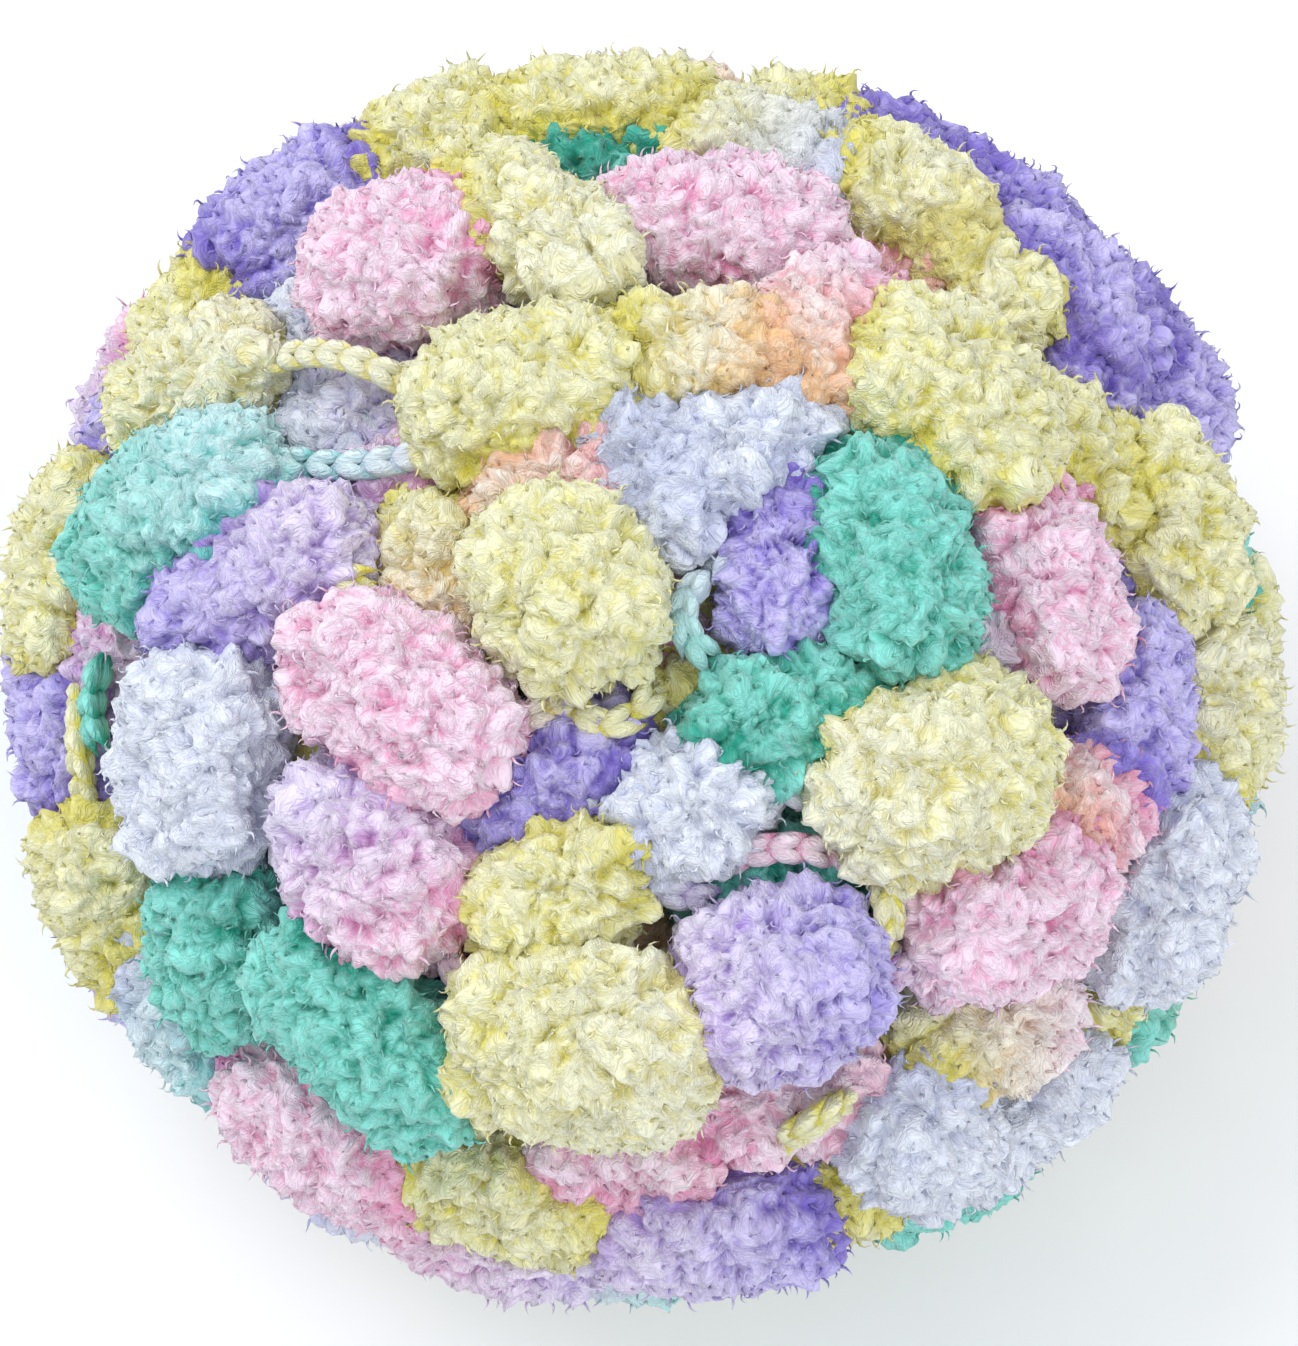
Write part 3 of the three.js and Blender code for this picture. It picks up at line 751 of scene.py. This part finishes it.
def pile_material():
    material = bpy.data.materials.new("crimped pile")
    material.use_nodes = True
    tree = material.node_tree
    shader = tree.nodes["Principled BSDF"]
    place = tree.nodes.new("ShaderNodeTexCoord").outputs["Object"]
    grain = attribute(tree, "grain").outputs["Vector"]
    tips, roots = (attribute(tree, name).outputs["Color"] for name in ("tips", "roots"))
    tip, shade, free = (attribute(tree, name).outputs["Fac"] for name in ("tip", "shade", "open"))

    drift = noise(tree, "drift", grain, DRIFT_SCALE, Detail=0.0).outputs["Color"]
    pushed = vector_math(tree, "push", "MULTIPLY_ADD", drift, DRIFT, grain)
    contours = noise(tree, "contours", pushed, FIBRE_SCALE, Detail=2.0, Roughness=0.6)
    folded = number_math(tree, "fold", "PINGPONG", contours.outputs["Fac"], STROKE_STEP)
    strokes = number_math(tree, "strokes", "DIVIDE", folded, STROKE_STEP)
    cells = cells_of(tree, "cells", pushed, FIBRE_SCALE)
    puffs = spread(tree, "puffs", cells, From_Min=0.8, From_Max=0.1)
    relief = number_math(tree, "relief", "MULTIPLY_ADD", strokes, STROKE_SHARE, puffs)

    # Painted light: the colour is paler on the tops of crumbs, fibres, strokes and puffs, as a
    # highlight, and deeper in their hollows, as shade.
    height = number_math(tree, "height", "MULTIPLY_ADD", relief, RELIEF_SHARE, tip)
    # Painted shade: the colour is darker in the crevices between pompoms, where open falls.
    room = spread(tree, "dimmer in crevices", free, To_Min=0.45, To_Max=1.0)
    lit = number_math(tree, "lit", "MULTIPLY", height, room)
    easing = {"interpolation_type": "SMOOTHSTEP"}
    lights = {"Value": lit, "From_Min": 0.2, "From_Max": 1.4}
    pale = node(tree, "ShaderNodeMapRange", "how pale", easing, **lights).outputs[0]
    mixing = {"data_type": "RGBA"}
    # dye is the colour of the yarn with this painted highlight and painted shade in it.
    dye = node(tree, "ShaderNodeMix", "dye", mixing, _0=pale, _6=roots, _7=tips).outputs[2]

    clumps = noise(tree, "clumps", place, CLUMP_SCALE, Detail=0.0).outputs["Fac"]
    by_clump = spread(tree, "clump by clump", clumps, To_Min=0.9, To_Max=1.08)
    by_fibre = spread(tree, "fibre by fibre", shade, To_Min=0.94, To_Max=1.04)
    value = number_math(tree, "value", "MULTIPLY", by_fibre, by_clump)
    colour = node(tree, "ShaderNodeHueSaturation", "lit dye", Value=value, Color=dye)
    tree.links.new(colour.outputs[0], shader.inputs["Base Color"])
    carving = {"Strength": 0.65, "Distance": 0.0006, "Height": relief}
    bump = node(tree, "ShaderNodeBump", "fine relief", **carving)
    tree.links.new(bump.outputs[0], shader.inputs["Normal"])
    shader.inputs["Roughness"].default_value = 0.92
    shader.inputs["Specular IOR Level"].default_value = 0.15
    shader.inputs["Sheen Weight"].default_value = 0.35
    shader.inputs["Sheen Roughness"].default_value = 0.5
    return material


pile = pile_material()
print("material", pile.name)

# %% [markdown]
# ## Growing the pile
# The crumbs could be sculpted, or be thousands of separate blobs. Geometry Nodes raises them
# from the skin instead, because then the same tree serves every pompom and there are no
# hidden faces. A Voronoi texture, whose cells are pulled about by a noise, gives each crumb a
# dome, and slower noises gather the domes into lumps and make them hang over. Then fibres are
# scattered over the raised skin with an even spacing. They lean the way that a noise brushes
# them, and a little at random. The tree ends by making its instances real and setting the
# material, because an exporter only takes plain meshes.


# %% Sizes of crumbs, lumps and fibres
HALF = (0.5, 0.5, 0.5)  # the middle of what a noise gives as a colour
OF_VECTORS = {"data_type": "FLOAT_VECTOR"}
CRUMB_SCALE = 430.0
SMALL_CRUMB_SCALE = 950.0
WANDER_SCALE = 500.0
LUMP_SCALE = 170.0
HANG_SCALE = 240.0
BRUSH_SCALE = 230.0
WANDER = 0.003  # how far the cells of the crumbs are pulled about, in metres
CREASE_DISTANCE = 0.85  # the distance in a Voronoi cell at which its dome starts to rise
TOP_DISTANCE = 0.15  # and where it is at its highest
DOME_POWER = 0.65  # under 1 makes a dome round, over 1 makes it a spike
CRUMBS = 0.8  # how much of the height large crumbs give
SMALL_CRUMBS = 0.42  # and small crumbs on top of them
MOST_FIBRES = 900000.0  # in a square metre, before the even spacing thins them out


# %% Raise the skin into crumbs and lumps
def dome_of_cells(tree, label, place, scale):
    """A value that is 1 in the middle of each cell of a Voronoi texture and 0 in its creases."""
    limits = {"From_Min": CREASE_DISTANCE, "From_Max": TOP_DISTANCE}
    slope = spread(tree, "slope", cells_of(tree, label, place, scale), **limits)
    return number_math(tree, "dome", "POWER", slope, DOME_POWER)


def raise_crumbs(tree, given, place, normal):
    """Moves the ground outwards into crumbs, and stores how high each corner lies as tip."""
    wander = noise(tree, "wander", place, WANDER_SCALE, Detail=1.0).outputs["Color"]
    pull = scaled(tree, "pull", vector_math(tree, "all ways", "SUBTRACT", wander, HALF), WANDER)
    pulled = vector_math(tree, "pulled about", "ADD", place, pull)
    small = dome_of_cells(tree, "small crumbs", pulled, SMALL_CRUMB_SCALE)
    small = number_math(tree, "smaller", "MULTIPLY", small, SMALL_CRUMBS)
    crumbs = dome_of_cells(tree, "crumbs", pulled, CRUMB_SCALE)
    dome = number_math(tree, "dome", "MULTIPLY_ADD", crumbs, CRUMBS, small)

    lumps = noise(tree, "lumps", place, LUMP_SCALE, Detail=1.0).outputs["Fac"]
    lump = number_math(tree, "up and down", "SUBTRACT", lumps, 0.5)
    lump = number_math(tree, "lump height", "MULTIPLY", lump, given["Lump Height"])
    rise = number_math(tree, "height", "MULTIPLY_ADD", dome, given["Crumb Height"], lump)
    outward = scaled(tree, "outward", normal, rise)

    ways = noise(tree, "ways to hang", place, HANG_SCALE, Detail=1.0).outputs["Color"]
    ways = vector_math(tree, "either way", "SUBTRACT", ways, HALF)
    reach = number_math(tree, "overhang", "MULTIPLY", dome, given["Overhang"])
    offset = vector_math(tree, "offset", "ADD", outward, scaled(tree, "hang over", ways, reach))

    # tip paints the tops of the crumbs pale, as a highlight, and their creases deep, as shade
    keep = "GeometryNodeStoreNamedAttribute"
    tipped = node(tree, keep, "tip", Geometry=given["Ground"], Name="tip", Value=dome)
    ground = tipped.outputs[0]
    return node(tree, "GeometryNodeSetPosition", "raise", Geometry=ground, Offset=offset).outputs[0]


# %% How a fibre stands
def stand_of_fibre(tree, given, place, normal):
    """The rotation of a fibre: outwards, brushed one way, a little at random, and spun."""
    brush = noise(tree, "brush", place, BRUSH_SCALE, Detail=1.0).outputs["Color"]
    brush = vector_math(tree, "either way", "SUBTRACT", brush, HALF)
    brushed = scaled(tree, "brushed", brush, given["Brush"])
    most = (1.0, 1.0, 1.0)
    least = (-1.0, -1.0, -1.0)
    stray = node(tree, "FunctionNodeRandomValue", "stray", OF_VECTORS, _0=least, _1=most)
    strayed = scaled(tree, "strayed", stray.outputs[0], given["Lean"])
    leaning = vector_math(tree, "both leans", "ADD", brushed, strayed)
    way = vector_math(tree, "lean", "ADD", leaning, normal)
    up = node(tree, "FunctionNodeAlignRotationToVector", "stand up", {"axis": "Z"}, Vector=way)
    turn = chance(tree, "turn", 0.0, 2 * math.pi, 0)
    spin = node(tree, "FunctionNodeAxisAngleToRotation", "spin", Axis=(0.0, 0.0, 1.0), Angle=turn)
    local = {"rotation_space": "LOCAL"}
    turns = {"_0": up.outputs[0], "_1": spin.outputs[0]}
    return node(tree, "FunctionNodeRotateRotation", "both turns", local, **turns).outputs[0]


# %% Plant the fibres
def plant_fibres(tree, given, place, ground):
    """Fibres of the given collection, evenly spaced over the ground where the cover allows."""
    cover = node(tree, "GeometryNodeInputNamedAttribute", "cover", Name="cover")
    scatter = node(
        tree,
        "GeometryNodeDistributePointsOnFaces",
        "even points",
        {"distribute_method": "POISSON"},
        Mesh=ground,
        Distance_Min=given["Spacing"],
        Density_Max=MOST_FIBRES,
        Density_Factor=cover.outputs["Attribute"],
        Seed=given["Seed"],
    )
    girth = chance(tree, "girth", 0.72, 1.2, 0)
    reach = chance(tree, "reach", 0.7, 1.2, 4)
    size = node(tree, "ShaderNodeCombineXYZ", "size", X=girth, Y=girth, Z=reach)
    stock = node(
        tree,
        "GeometryNodeCollectionInfo",
        "stock",
        Collection=given["Fibres"],
        Separate_Children=True,
        Reset_Children=True,
    )
    whole = {"data_type": "INT"}
    last = len(fibres.objects) - 1
    pick = node(tree, "FunctionNodeRandomValue", "which fibre", whole, _4=0, _5=last, Seed=9)
    plant = node(
        tree,
        "GeometryNodeInstanceOnPoints",
        "plant",
        Points=scatter.outputs["Points"],
        Instance=stock.outputs[0],
        Pick_Instance=True,
        Instance_Index=pick.outputs[2],
        Rotation=stand_of_fibre(tree, given, place, scatter.outputs["Normal"]),
        Scale=size.outputs[0],
    )
    tag = node(
        tree,
        "GeometryNodeStoreNamedAttribute",
        "shade",
        {"domain": "INSTANCE"},
        Geometry=plant.outputs[0],
        Name="shade",
        Value=chance(tree, "shade of a fibre", 0.0, 1.0, 21),
    )
    return node(tree, "GeometryNodeRealizeInstances", "realize", Geometry=tag.outputs[0]).outputs[0]


# %% The whole tree
def grow_tree():
    sizes = ("Crumb Height", "Lump Height", "Overhang", "Spacing", "Lean", "Brush")
    sockets = {"Ground": "Geometry", **dict.fromkeys(sizes, "Float")}
    sockets |= {"Seed": "Int", "Fibres": "Collection", "Material": "Material"}
    tree, given = new_tree("grow pile", sockets)
    place = tree.nodes.new("GeometryNodeInputPosition").outputs[0]
    normal = tree.nodes.new("GeometryNodeInputNormal").outputs[0]
    raised = raise_crumbs(tree, given, place, normal)
    planted = plant_fibres(tree, given, place, raised)
    join = tree.nodes.new("GeometryNodeJoinGeometry")
    tree.links.new(raised, join.inputs[0])
    tree.links.new(planted, join.inputs[0])
    paint_and_end(tree, join.outputs[0], given["Material"])
    return tree


# %% [markdown]
# A modifier only shows what the tree makes. To keep it, the object is evaluated with its
# modifier, the result is copied into a plain mesh, and the object with the modifier goes.
# Pile that would reach into the floor is pressed flat just above it, as the weight of the ball
# does.


# %% From a tree to a finished piece
FLAT_SPOT = 1.2 * MM  # pile below this height is pressed flat
GROUND_LAYERS = {"cover": "number", "open": "number", "tips": "colour", "roots": "colour"}


def settle(mesh, height):
    """Presses what reaches below a small height flat above the floor, without a fold."""
    corners = np.empty(3 * len(mesh.vertices))
    mesh.vertices.foreach_get("co", corners)
    z = corners[2::3]
    low = z < height
    z[low] = height * np.exp((z[low] - height) / height)
    mesh.vertices.foreach_set("co", corners)


def grown(base, tree, values):
    """The plain mesh that a Geometry Nodes tree makes from a base mesh."""
    ground = bpy.data.objects.new(base.name, base)
    bpy.context.scene.collection.objects.link(ground)
    modifier = ground.modifiers.new("nodes", "NODES")
    modifier.node_group = tree
    for socket in tree.interface.items_tree:
        if socket.in_out == "INPUT" and socket.name in values:
            modifier[socket.identifier] = values[socket.name]
    bpy.context.view_layer.update()
    evaluated = ground.evaluated_get(bpy.context.evaluated_depsgraph_get())
    mesh = bpy.data.meshes.new_from_object(evaluated)
    bpy.data.objects.remove(ground)
    return mesh


def ground_mesh(name, members):
    """One mesh of the ground of several pompoms, with their dyes and cover."""
    corners = np.concatenate([each["corners"] for each in members]) * MM
    firsts = np.cumsum([0] + [len(each["corners"]) for each in members])
    sides = np.concatenate([each["facets"] + first for each, first in zip(members, firsts)])
    mesh = bpy.data.meshes.new(name)
    mesh.from_pydata(corners.tolist(), [], sides.tolist())
    store(mesh, "grain", "vector", corners)
    for layer, kind in GROUND_LAYERS.items():
        store(mesh, layer, kind, np.concatenate([each[layer] for each in members]))
    mesh.polygons.foreach_set("use_smooth", [True] * len(mesh.polygons))
    return mesh


def finish_piece(name, mesh):
    """Puts a finished mesh in the scene as a piece of the ball."""
    settle(mesh, FLAT_SPOT)
    mesh.name = name
    piece = bpy.data.objects.new(name, mesh)
    bpy.context.scene.collection.objects.link(piece)
    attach(piece, "root")
    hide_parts("pompom_ball")
    print(name, triangles_in(mesh), "triangles")


# %% [markdown]
# The pompoms of one colour make one piece, or more where there are many, so that a piece can
# be picked by its colour and none gets too heavy. Round the side and below, where less is
# seen, the fibres stand wider apart.

# %% Grow the pile of each colour
SPACING = 1.9 * MM
UNDERSIDE_SPACING = 2.8 * MM
MOST_IN_A_PIECE = 14  # pompoms
PILE_LOOK = {
    "Crumb Height": 2.7 * MM,
    "Lump Height": 2.2 * MM,
    "Overhang": 3.5 * MM,
    "Lean": 0.9,
    "Brush": 3.0,
    "Fibres": fibres,
    "Material": pile,
}

pile_tree = grow_tree()
groups = {}
for number, each in enumerate(pompoms):
    side = "upper" if number < len(above) else "lower"
    groups.setdefault(f"{GROUP_NAMES[each['start']]}_pompoms_{side}", []).append(each)
for name, members in groups.items():
    spacing = SPACING if name.endswith("upper") else UNDERSIDE_SPACING
    for first in range(0, len(members), MOST_IN_A_PIECE):
        some = members[first : first + MOST_IN_A_PIECE]
        piece_name = f"{name}_{1 + first // MOST_IN_A_PIECE}"
        values = {**PILE_LOOK, "Spacing": spacing, "Seed": first}
        finish_piece(piece_name, grown(ground_mesh(piece_name, some), pile_tree, values))

# %% [markdown]
# ## The layer below
# In the gaps between the pompoms the layer of yarn below shows. It could be a second layer of
# pompoms, but only scraps of it are seen: one ball with a swelling round each of many evenly
# spread points looks the same from outside. Points on a golden spiral are spread evenly. Each
# swelling takes the next colour of the dye run, and the pile grows on it too.

# %% Inner layer
INNER_POMPOMS = 90
INNER_DEPTH = 11  # from the shell to the creases of the inner layer, in millimetres
SWELLING = 6  # how far a swelling rises from its creases, in millimetres
SWELLING_SLOPE = 0.25  # how wide its flanks are, on a ball of radius 1
INNER_LIGHT = 0.4  # how open the inner layer is at most, as little light gets there
GOLDEN_ANGLE = math.pi * (3 - math.sqrt(5))

heights = 1 - 2 * (np.arange(INNER_POMPOMS) + 0.5) / INNER_POMPOMS
turns = GOLDEN_ANGLE * np.arange(INNER_POMPOMS)
girths = np.sqrt(1 - heights**2)
inner_middles = np.stack([girths * np.cos(turns), girths * np.sin(turns), heights], axis=1)


def swelling(directions):
    """For each direction the number of its swelling, and 0 in a crease up to 1 on top."""
    distance = np.linalg.norm(directions[:, None] - inner_middles, axis=2)
    nearest = np.sort(distance, axis=1)
    slope = np.clip((nearest[:, 1] - nearest[:, 0]) / SWELLING_SLOPE, 0, 1)
    return np.argmin(distance, axis=1), np.sqrt(slope)


def on_inner_layer(directions):
    reach = SHELL - INNER_DEPTH
    return MIDDLE + directions * (reach + SWELLING * swelling(directions)[1][:, None])


def inner_layer_shows(points, last):
    free = np.full(len(points), not last)
    if last:
        free[:] = seen_by_eye(points, BARRELS)
    for each in pompoms:
        free &= barrel_level(points, each, SKIN_INSET) > HIDDEN_LEVEL
    return free


directions, inner_facets = fine_ball(3, FACET_CUTS, on_inner_layer, inner_layer_shows)
owner, top = swelling(directions)
# open stays low on the inner layer and falls to 0 in its creases, so the material paints it in
# shade, as little light gets down there
inner = {"corners": on_inner_layer(directions), "facets": inner_facets, "open": INNER_LIGHT * top}
inner["cover"] = inner_layer_shows(inner["corners"], False).astype(float)
for layer, shade in (("tips", 0), ("roots", 1)):
    dyes = np.array([linear(YARN_COLOURS[name][shade]) for name in DYE_RUN])
    inner[layer] = dyes[owner % len(DYE_RUN)]
values = {**PILE_LOOK, "Spacing": UNDERSIDE_SPACING, "Seed": 3}
finish_piece("inner_layer", grown(ground_mesh("inner_layer", [inner]), pile_tree, values))

# %% [markdown]
# ## The chain-stitched cord
# The cord is crocheted: each stitch is a loop, seen as a pair of plump leaves that open
# towards the next stitch, over a third strand that runs underneath. A looped curve could
# follow the real thread, but the leaves are all that shows, so one stitch is modelled and laid
# again and again along each link.

# %% One stitch
STITCH_LONG = 6.3  # in millimetres
STITCH_SIDES = 6
STITCH_RADII = (0.3, 0.8, 1.1, 0.95, 0.4)
LEAF_LINE = ((-0.2, -0.1), (0.9, 0.5), (1.4, -0.7))  # sideways and up: start, middle, end
STRAND_LINE = ((0, -0.7), (0, -0.9), (0, -0.7))
STITCH_ROUGHNESS = 0.06
# Painted light on a stitch: its plump stretches are painted pale, as a highlight, and its thin ends
# deep, as shade.
TIP_SLOPE = 1.6  # plump stretches of a leaf are pale like the tips of the pile
TIP_START = 0.9  # and its thin ends are deep in colour
SHADED_END = -0.5


def through(start, middle, end, share):
    """The point at a share of the way along a smooth line through three points."""
    share = np.asarray(share, float)[..., None]
    early = (1 - share) * (1 - 2 * share)
    late = share * (2 * share - 1)
    return early * start + 4 * share * (1 - share) * middle + late * end


def stitch_mesh(random):
    """A closed pair of leaves and the strand under them, along +X."""
    stations = (-STITCH_LONG / 2, 0, STITCH_LONG / 2)
    shares = [k / len(STITCH_RADII) for k in range(len(STITCH_RADII) + 1)]
    corners, faces, tips = [], [], []
    for side, line in ((-1, LEAF_LINE), (1, LEAF_LINE), (1, STRAND_LINE)):
        points = [np.array([x, side * y, z]) for x, (y, z) in zip(stations, line)]
        centres = [through(*points, share) for share in shares]
        more, rims = tube(centres, STITCH_RADII, STITCH_SIDES, random, STITCH_ROUGHNESS)
        faces += [tuple(len(corners) + corner for corner in rim) for rim in rims]
        corners += more
        for radius in STITCH_RADII:
            tips += [TIP_SLOPE * radius - TIP_START] * STITCH_SIDES
        tips.append(SHADED_END)
    return smooth_mesh("stitch", corners, faces, tips, (GRAIN_STRETCH, 1, 1))


stitch = bpy.data.objects.new("stitch", stitch_mesh(np.random.default_rng(3)))
print("a stitch has", triangles_in(stitch.data), "triangles")


# %% Where the stitches go
STITCH_PITCH = 3.6
RING_LINK_REACH = 0.36  # from the middle of a pompom to where its cord starts, in pompom lengths
RING_LINK_RISE = 2
LINK_LIFT = 1.5  # lifts the cord, in millimetres, which the crumbs would bury otherwise
NEAR = 0.05  # the share of a link on both sides of a stitch that gives its direction


def upper_link(x1, y1, x2, y2, x3, y3, rise):
    """Three points of a link, and the outward way at its middle."""
    start, _ = plan_spot(x1, y1, 0)
    middle, out = plan_spot(x2, y2, -rise - LINK_LIFT)
    end, _ = plan_spot(x3, y3, 0)
    return start, middle, end, out


def ring_link(each, following):
    """The link from the end of one pompom of a ring to the start of the next."""
    reach = RING_LINK_REACH * POMPOM_LONG
    start = each["centre"] + reach * each["axes"][0] + RING_LINK_RISE * each["axes"][2]
    end = following["centre"] - reach * following["axes"][0] + RING_LINK_RISE * following["axes"][2]
    out = unit(each["axes"][2] + following["axes"][2])
    return start, (start + end) / 2 + RING_LINK_RISE * out, end, out


def stitches_along(colours, start, middle, end, out):
    """The places, ways and colours of the stitches of a link, dyed from one colour to another."""
    length = np.linalg.norm(middle - start) + np.linalg.norm(end - middle)
    count = max(2, round(length / STITCH_PITCH))
    shares = (np.arange(count) + 0.5) / count
    points = through(start, middle, end, shares)
    behind, ahead = (through(start, middle, end, shares + step) for step in (-NEAR, NEAR))
    outs = np.tile(out, (count, 1))
    return points, ahead - behind, outs, *dyes_along(colours, shares).values()


links = [stitches_along(row[:2], *upper_link(*row[2:])) for row in UPPER_LINKS]
for ring in rings[:-1]:
    for each, following in zip(ring, ring[1:] + ring[:1]):
        links.append(stitches_along((each["end"], following["start"]), *ring_link(each, following)))
points, ways, outs, tips, roots = (np.concatenate(column) for column in zip(*links))
print(len(links), "links with", len(points), "stitches")


# %% Geometry Nodes tree that lays the stitches
def stitch_tree():
    sockets = {"Places": "Geometry", "Stitch": "Object", "Material": "Material"}
    tree, given = new_tree("lay stitches", sockets)
    out = node(tree, "GeometryNodeInputNamedAttribute", "out", OF_VECTORS, Name="out").outputs[0]
    way = node(tree, "GeometryNodeInputNamedAttribute", "way", OF_VECTORS, Name="way").outputs[0]
    align = "FunctionNodeAlignRotationToVector"
    upright = node(tree, align, "face out", {"axis": "Z"}, Vector=out).outputs[0]
    along = {"axis": "X", "pivot_axis": "AUTO"}
    onward = node(tree, align, "point onward", along, Rotation=upright, Vector=way)
    pattern = node(tree, "GeometryNodeObjectInfo", "stitch", Object=given["Stitch"])
    places = node(tree, "GeometryNodeMeshToPoints", "places", Mesh=given["Places"])
    lay = node(
        tree,
        "GeometryNodeInstanceOnPoints",
        "lay",
        Points=places.outputs[0],
        Instance=pattern.outputs["Geometry"],
        Rotation=onward.outputs[0],
    )
    real = node(tree, "GeometryNodeRealizeInstances", "realize", Geometry=lay.outputs[0])
    paint_and_end(tree, real.outputs[0], given["Material"])
    return tree


# %% Lay the cord
places = bpy.data.meshes.new("stitch places")
places.from_pydata((points * MM).tolist(), [], [])
store(places, "way", "vector", ways)
store(places, "out", "vector", outs)
store(places, "tips", "colour", tips)
store(places, "roots", "colour", roots)
store(places, "open", "number", np.ones(len(points)))
values = {"Stitch": stitch, "Material": pile}
finish_piece("chain_stitched_cord", grown(places, stitch_tree(), values))

# %% [markdown]
# ## Floor and light
# A pale floor and big soft lights, brightest from the upper left, as daylight through a
# window falls on the ball. Small hard lights would draw a sharp shadow behind every crumb. A
# pale sky fills the crevices, and the plain view transform keeps the dyes clear.


# %% Floor
def floor_material():
    material = bpy.data.materials.new("pale floor")
    material.use_nodes = True
    tree = material.node_tree
    place = tree.nodes.new("ShaderNodeTexCoord").outputs["Object"]
    grain = noise(tree, "faint grain", place, 60.0).outputs["Fac"]
    tone = spread(tree, "tone", grain, To_Min=0.86, To_Max=0.9)
    shader = tree.nodes["Principled BSDF"]
    tree.links.new(tone, shader.inputs["Base Color"])
    shader.inputs["Roughness"].default_value = 0.8
    return material


far = 3  # from the middle to the sides of the floor, in metres
floor_corners = [(-far, -far, 0), (far, -far, 0), (far, far, 0), (-far, far, 0)]
floor_mesh = bpy.data.meshes.new("floor")
floor_mesh.from_pydata(floor_corners, [], [(0, 1, 2, 3)])
floor_mesh.materials.append(floor_material())
floor = bpy.data.objects.new("floor", floor_mesh)
bpy.context.scene.collection.objects.link(floor)
floor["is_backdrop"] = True
print("floor", 2 * far, "m wide")


# %% Lights and sky
def soft_light(name, place, size, watts):
    """A square light that looks at the middle of the ball."""
    data = bpy.data.lights.new(name, "AREA")
    data.size = size
    data.energy = watts
    light = bpy.data.objects.new(name, data)
    away = Vector(place) - Vector(MIDDLE * MM)
    facing = away.to_track_quat("Z", "Y").to_matrix().to_4x4()
    light.matrix_world = Matrix.Translation(place) @ facing
    bpy.context.scene.collection.objects.link(light)


soft_light("window", (-0.55, 0.45, 0.85), 0.8, 6)
soft_light("room", (0.6, -0.6, 0.8), 0.9, 3.5)
world = bpy.data.worlds.new("pale room")
world.use_nodes = True
sky = world.node_tree.nodes["Background"].inputs
sky["Color"].default_value = (0.93, 0.96, 1.0, 1)
sky["Strength"].default_value = 0.95
bpy.context.scene.world = world
bpy.context.scene.view_settings.view_transform = "Standard"
print(len(bpy.data.lights), "lights and a sky")

# %% [markdown]
# ## The size
# The pile may stand a little proud of the solid, but the size of the object is the solid's.
# The two boxes are kept side by side, and the size of the pile is printed.

# %% Keep the boxes side by side and finish
pile_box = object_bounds()
boxes = {"solid": SOLID_BOX, "visual": pile_box}
boxes = {name: [list(corner) for corner in box] for name, box in boxes.items()}
print("visual, in mm:", [round(1000 * (high - low)) for low, high in zip(*pile_box)])
